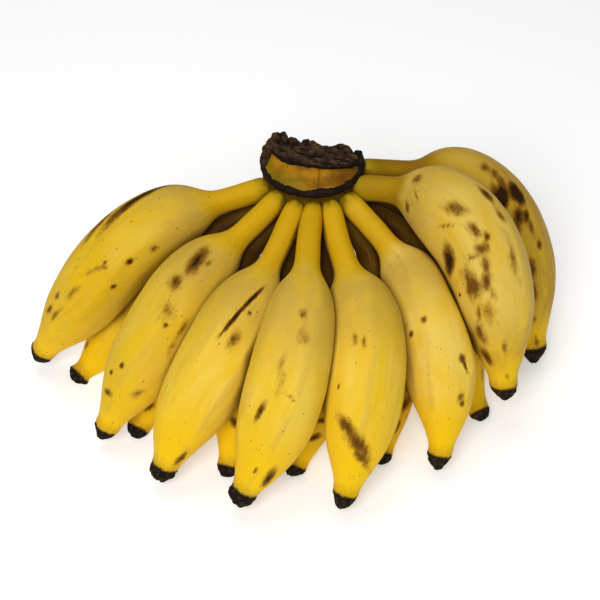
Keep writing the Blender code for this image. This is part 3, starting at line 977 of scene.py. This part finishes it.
def add_softbox(name, place, size, power):
    """A round area lamp, aimed at the target."""
    clear_selection()
    bpy.ops.object.light_add(type="AREA", location=TARGET + Vector(place))
    lamp = bpy.context.active_object
    lamp.name = name
    lamp.data.shape = "DISK"
    lamp.data.size = size
    lamp.data.energy = power
    aimed(lamp, TARGET)


def make_stage(stage):
    """A pale floor, a bright sky, two soft lamps and the camera."""
    scene = bpy.context.scene
    clear_selection()
    bpy.ops.mesh.primitive_plane_add(size=FLOOR_SIZE, location=(0, 0, -FLOOR_LOW))
    floor = added("pale_floor")
    settle_place(floor)
    floor.data.materials.append(floor_material(stage))

    world = bpy.data.worlds.new("bright_sky")
    world.use_nodes = True
    sky = world.node_tree.nodes["Background"]
    sky.inputs["Color"].default_value = (1.0, 1.0, 1.0, 1.0)
    sky.inputs["Strength"].default_value = stage.sky_strength
    scene.world = world

    add_softbox(*FRONT_SOFTBOX, stage.key_power)
    add_softbox(*OVERHEAD_SOFTBOX, stage.fill_power)

    clear_selection()
    rise = stage.camera_elevation
    back = Vector((0, -math.cos(rise), math.sin(rise)))
    bpy.ops.object.camera_add(location=TARGET + back * stage.camera_distance)
    camera = bpy.context.active_object
    camera.name = "camera"
    camera.data.sensor_width = SENSOR_WIDTH
    camera.data.lens = stage.camera_lens
    aimed(camera, TARGET)
    scene.camera = camera
    scene.view_settings.view_transform = "Standard"


# ---- The add-on ----


def colour_property(name, description, *default):
    """A colour, as linear red, green and blue."""
    return bpy.props.FloatVectorProperty(
        name=name, description=description, subtype="COLOR", size=3, min=0.0, max=1.0, default=default
    )


def number_property(name, description, default, **kind):
    """A plain number, or with kind a measured one."""
    return bpy.props.FloatProperty(name=name, description=description, default=default, **kind)


def length_property(name, description, size):
    """A length whose default is given in millimetres."""
    return number_property(name, description, size * MM, unit="LENGTH", min=0.0, precision=4)


class PeelSettings(bpy.types.PropertyGroup):
    """What a user may change about the bananas."""

    ripe_colour: colour_property("Ripe", "Main yellow of the peel", 0.78, 0.49, 0.006)
    pale_colour: colour_property("Pale", "Paler patches of the peel", 0.83, 0.56, 0.042)
    deep_colour: colour_property("Deep", "Deeper yellow of the streaks", 0.68, 0.40, 0.006)
    bright_colour: colour_property("Bright", "Pure yellow towards the blossom end", 0.83, 0.51, 0.001)
    dull_colour: colour_property("Dull", "Brownish yellow of an older banana", 0.48, 0.28, 0.022)
    dusty_colour: colour_property("Dusty", "Tan bloom on the shoulders and ridges", 0.55, 0.35, 0.050)
    neck_colour: colour_property("Neck", "Golden yellow of the necks", 0.62, 0.35, 0.002)
    old_neck_colour: colour_property("Old neck", "Brownish neck of an older banana", 0.20, 0.10, 0.004)
    collar_colour: colour_property("Collar", "Olive at the foot of a neck", 0.33, 0.235, 0.004)
    faded_colour: colour_property("Faded", "Cream of a faded shoulder or belly", 0.80, 0.58, 0.13)
    # The peel's painted shade: where the hand hems the skin in, on the lower necks under the top row, and
    # along the lines where bananas touch
    shade_colour: colour_property("Deep shade", "Skin that the rest of the hand hems in", 0.17, 0.080, 0.001)
    tucked_shade_colour: colour_property("Tucked away", "Necks under the top row; contacts", 0.050, 0.017, 0.001)
    stain_colour: colour_property("Stain", "Edge of a bruise", 0.32, 0.16, 0.012)
    bruise_colour: colour_property("Bruise", "Bruised skin", 0.13, 0.048, 0.003)
    heart_colour: colour_property("Bruise heart", "Darkest middle of a bruise", 0.018, 0.007, 0.003)
    speck_colour: colour_property("Speck", "Small specks", 0.070, 0.030, 0.007)
    dry_colour: colour_property("Dried end", "Dried blossom end", 0.010, 0.006, 0.004)
    bark_colour: colour_property("Dried edge", "Worn edges of the dried blossom end", 0.060, 0.036, 0.018)
    # Where the painted shade of hemmed-in skin begins and where it is full
    shade_from: number_property("Shade from", "How far hemmed in the skin starts to darken", 0.60)
    shade_full: number_property("Shade full", "How far hemmed in the skin is darkest", 0.95)
    shine: number_property("Shine", "How strongly the peel shines", 0.06)
    plumpness: length_property("Plumpness", "How far the skin is filled out before it is smoothed", 0.35)
    ridge_height: length_property("Ridge height", "How far the five ridges stand out", 0.50)
    lump_height: length_property("Unevenness", "Depth of the broad unevenness of the skin", 1.2)
    nub_length: length_property("Nub", "Longest nub at a blossom end", 4.0)


class CrownSettings(bpy.types.PropertyGroup):
    """What a user may change about the crown."""

    slope_colour: colour_property("Slope", "Orange-yellow slope above the band", 0.40, 0.18, 0.001)
    amber_colour: colour_property("Amber", "Darker patches of the slope", 0.24, 0.09, 0.001)
    olive_colour: colour_property("Olive", "Green tint of the flank", 0.15, 0.12, 0.004)
    brown_colour: colour_property("Brown", "Brown of seams and creases", 0.10, 0.038, 0.003)
    band_colour: colour_property("Band", "Scar band", 0.009, 0.005, 0.003)
    bark_colour: colour_property("Bark", "Lighter fibres of dried stalk", 0.090, 0.048, 0.021)
    rim_colour: colour_property("Band edge", "Lighter flecks of the scar band", 0.030, 0.017, 0.010)
    # Painted shade in the stub's hollows and painted shadow on its wall below the torn top
    stub_shade_colour: colour_property("Hollows", "Dark hollows of dried stalk", 0.008, 0.005, 0.003)
    band_thickness: length_property("Band thickness", "Thickness of the scar band", 4.7)
    band_radius: length_property("Band radius", "Radius of the middle of the scar band", 24.6)


class StageSettings(bpy.types.PropertyGroup):
    """What a user may change about the stage."""

    floor_colour: colour_property("Floor", "Colour of the floor", 0.93, 0.93, 0.93)
    floor_glow: number_property("Floor glow", "Light from the floor itself", 0.31, min=0.0)
    sky_strength: number_property("Sky", "Brightness of the sky", 0.25, min=0.0)
    key_power: number_property("Key", "Power of the front lamp", 11.8, unit="POWER")
    fill_power: number_property("Fill", "Power of the overhead lamp", 3.6, unit="POWER")
    camera_elevation: number_property("Elevation", "Angle above level", math.radians(45), subtype="ANGLE")
    camera_distance: number_property("Distance", "From the camera to its target", 0.80, unit="LENGTH")
    camera_lens: number_property("Lens", "Focal length", 91.2, unit="CAMERA")


def grow_row(context, names, first):
    """Grows a row of bananas, numbered from first, all in one material."""
    peel = context.scene.banana_peel
    material = bpy.data.materials.get("ripe_peel") or peel_material(peel)
    tree = tree_of(["crown"] + TOP_ROW + LOWER_ROW)
    for number, name in enumerate(names, first):
        grow_banana(name, peel, material, number, tree)
    return {"FINISHED"}


class BANANAS_OT_top_row(bpy.types.Operator):
    """Grow the eight bananas of the top row"""

    bl_idname = "bananas.top_row"
    bl_label = "Top row"

    def execute(self, context):
        return grow_row(context, TOP_ROW, 1)


class BANANAS_OT_lower_row(bpy.types.Operator):
    """Grow the eight bananas of the lower row"""

    bl_idname = "bananas.lower_row"
    bl_label = "Lower row"

    def execute(self, context):
        return grow_row(context, LOWER_ROW, 9)


class BANANAS_OT_crown_flank(bpy.types.Operator):
    """Make the crown's flank and orange slope"""

    bl_idname = "bananas.crown_flank"
    bl_label = "Crown flank"

    def execute(self, context):
        make_flank(context.scene.banana_crown)
        return {"FINISHED"}


class BANANAS_OT_scar_band(bpy.types.Operator):
    """Make the dark scar band round the crown"""

    bl_idname = "bananas.scar_band"
    bl_label = "Scar band"

    def execute(self, context):
        make_band(context.scene.banana_crown)
        return {"FINISHED"}


class BANANAS_OT_torn_stub(bpy.types.Operator):
    """Make the torn stub of the stalk"""

    bl_idname = "bananas.torn_stub"
    bl_label = "Torn stub"

    def execute(self, context):
        make_stub(context.scene.banana_crown)
        return {"FINISHED"}


class BANANAS_OT_stage(bpy.types.Operator):
    """Set up the floor, the light and the camera"""

    bl_idname = "bananas.stage"
    bl_label = "Stage"

    def execute(self, context):
        make_stage(context.scene.banana_stage)
        return {"FINISHED"}


OPERATORS = (
    BANANAS_OT_top_row,
    BANANAS_OT_lower_row,
    BANANAS_OT_crown_flank,
    BANANAS_OT_scar_band,
    BANANAS_OT_torn_stub,
    BANANAS_OT_stage,
)


class BANANAS_PT_panel(bpy.types.Panel):
    """Lists the pieces of the banana hand"""

    bl_idname = "BANANAS_PT_panel"
    bl_label = "Banana hand"
    bl_space_type = "VIEW_3D"
    bl_region_type = "UI"
    bl_category = "Bananas"

    def draw(self, context):
        for operator in OPERATORS:
            self.layout.operator(operator.bl_idname)
        for group in (context.scene.banana_peel, context.scene.banana_crown, context.scene.banana_stage):
            box = self.layout.box()
            for name in group.__annotations__:
                box.prop(group, name)


SETTINGS = {"banana_peel": PeelSettings, "banana_crown": CrownSettings, "banana_stage": StageSettings}


def register():
    for kind in (*SETTINGS.values(), *OPERATORS, BANANAS_PT_panel):
        bpy.utils.register_class(kind)
    for name, kind in SETTINGS.items():
        setattr(bpy.types.Scene, name, bpy.props.PointerProperty(type=kind))


def unregister():
    for name in SETTINGS:
        delattr(bpy.types.Scene, name)
    for kind in (BANANAS_PT_panel, *reversed(OPERATORS), *SETTINGS.values()):
        bpy.utils.unregister_class(kind)


def main():
    register()
    bpy.ops.bananas.top_row()
    bpy.ops.bananas.lower_row()
    bpy.ops.bananas.crown_flank()
    bpy.ops.bananas.scar_band()
    bpy.ops.bananas.torn_stub()
    bpy.ops.bananas.stage()


if __name__ == "__main__":
    main()
